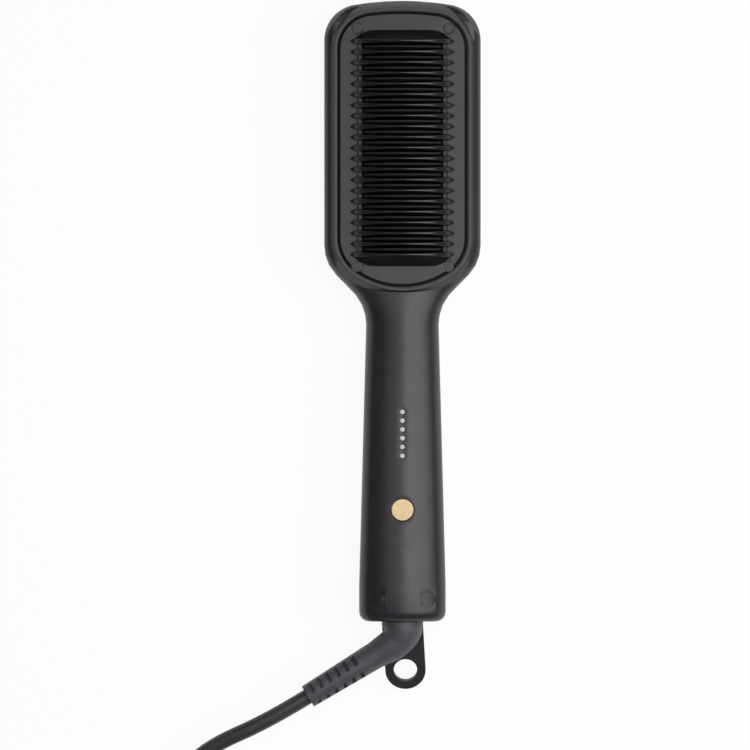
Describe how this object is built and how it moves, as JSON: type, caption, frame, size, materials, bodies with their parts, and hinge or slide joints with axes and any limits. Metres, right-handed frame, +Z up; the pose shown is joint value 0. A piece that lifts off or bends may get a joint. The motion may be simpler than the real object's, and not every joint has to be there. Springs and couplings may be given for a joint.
{
  "type": "hair straightener brush",
  "caption": "Heated comb brush with a shell housing, arched comb bars over a finned heater, one push button, a row of lights, and a swivelling mains lead with a hanging loop.",
  "frame": {"origin": "middle of the brush without its lead, on the surface it lies on", "axes": "+Y from the grip towards the comb head, +Z up out of the comb, +X to the right seen from the comb's side with the head up"},
  "size_m": [0.1717, 0.4434, 0.0396],
  "materials": {
    "housing": "satin moulded, dark grey",
    "comb_black": "satin moulded, black",
    "plug_caps": "satin moulded",
    "heater_black": "black ceramic coat on aluminium",
    "ceramic": "unglazed ceramic",
    "mica": "thin mica",
    "steel": "zinc plated",
    "tray_plastic": "heat-proof moulding",
    "glass_bead": "clear",
    "board": "solder-masked board",
    "component_black": "moulded",
    "component_yellow": "moulded",
    "lamp": "clear and yellow",
    "light_guide": "clear, frosted",
    "gold": "champagne gold, satin",
    "pale_plastic": "moulded",
    "brass": "machined",
    "wire": "silicone sleeve",
    "cord": "matt, flexible",
    "tie": "soft strap"
  },
  "bodies": {
    "handset": {"front_shell": "housing", "back_shell": "housing", "comb_cover": "comb_black", "heater_plate": "heater_black", "heater_elements": "ceramic", "mica_sheet": "mica", "heater_clamp": "steel", "heater_tray": "tray_plastic", "thermistor": "glass_bead", "thermal_fuse": "steel", "heater_leads": "wire", "cover_screws": "steel", "cover_screw_plugs": "plug_caps", "tray_screws": "steel", "grip_screws": "steel", "grip_screw_plugs": "plug_caps", "board_screws": "steel", "control_board": "board", "triac": "component_black", "microcontroller": "component_black", "film_capacitor": "component_yellow", "reservoir_capacitor": "component_black", "status_leds": "lamp", "light_guide": "light_guide", "switch_body": "component_black", "contact_block": "pale_plastic", "contact_strips": "brass", "mains_leads": "wire"},
    "power_button": {"button_cap": "gold", "switch_plunger": "pale_plastic"},
    "cord_swivel": {"swivel_collar": "pale_plastic", "slip_rings": "brass", "hang_loop": "housing", "strain_relief_boot": "cord", "cord_lead": "cord", "cord_coil": "cord", "cord_tail": "cord", "cord_tie": "tie", "plug_body": "cord", "plug_pins": "brass"}
  },
  "joints": [
    {"name": "power_button", "type": "slide", "parent": "handset", "child": "power_button", "axis": [0, 0, -1], "range_m": [0, 0.0006], "stiffness_N_per_m": 1500, "springref_m": -0.0006},
    {"name": "cord_swivel", "type": "hinge", "parent": "handset", "child": "cord_swivel", "pos_m": [0, -0.105, 0.01525], "axis": [0, 1, 0], "continuous": true}
  ]
}
